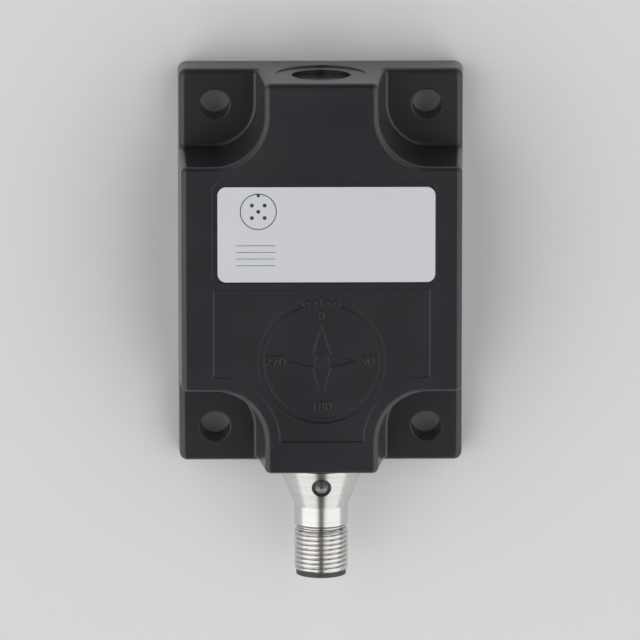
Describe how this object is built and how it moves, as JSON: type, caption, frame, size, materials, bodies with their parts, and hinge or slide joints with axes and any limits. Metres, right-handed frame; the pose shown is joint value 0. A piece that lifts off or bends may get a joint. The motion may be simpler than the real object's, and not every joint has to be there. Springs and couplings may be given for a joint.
{
  "type": "tilt sensor",
  "caption": "Tilt sensor: black cast housing that screws down by stepped corner ears, with a white label, a compass relief and a round threaded plug connector at one end.",
  "frame": {"origin": "centre of the mounting holes, on the mounting face", "axes": "+Z out of the label face, +Y towards the end with the blank port; the connector points to -Y"},
  "size_m": [0.064, 0.1143, 0.026],
  "materials": {
    "housing_paint": "matte",
    "plate_paint": "matte",
    "sealing_rubber": "matte",
    "screw_steel": "satin",
    "connector_nickel": "satin",
    "carrier_plastic": "matte",
    "contact_gold": "polished",
    "lens_clear": "gloss",
    "label_film": "satin",
    "board_green": "satin",
    "flex_amber": "satin",
    "package_black": "matte",
    "can_metal": "satin",
    "header_plastic": "satin"
  },
  "bodies": {
    "root": {"housing": "housing_paint", "base_plate": "plate_paint", "base_gasket": "sealing_rubber", "base_plate_screws": "screw_steel", "label": "label_film", "connector_shell": "connector_nickel", "connector_o_ring": "sealing_rubber", "contact_carrier": "carrier_plastic", "contact_pin_1": "contact_gold", "contact_pin_2": "contact_gold", "contact_pin_3": "contact_gold", "contact_pin_4": "contact_gold", "contact_pin_5": "contact_gold", "indicator_lens": "lens_clear", "indicator_board": "board_green", "indicator_lamp": "header_plastic", "flex_circuit": "flex_amber", "board_header": "header_plastic", "main_board": "board_green", "board_screws": "screw_steel", "tilt_sensor_chip": "can_metal", "microcontroller": "package_black", "bus_transceiver": "package_black", "crystal": "can_metal", "voltage_regulator": "package_black", "filter_capacitor_1": "can_metal", "filter_capacitor_2": "can_metal", "inductor": "package_black", "surge_diode": "package_black"}
  },
  "joints": []
}
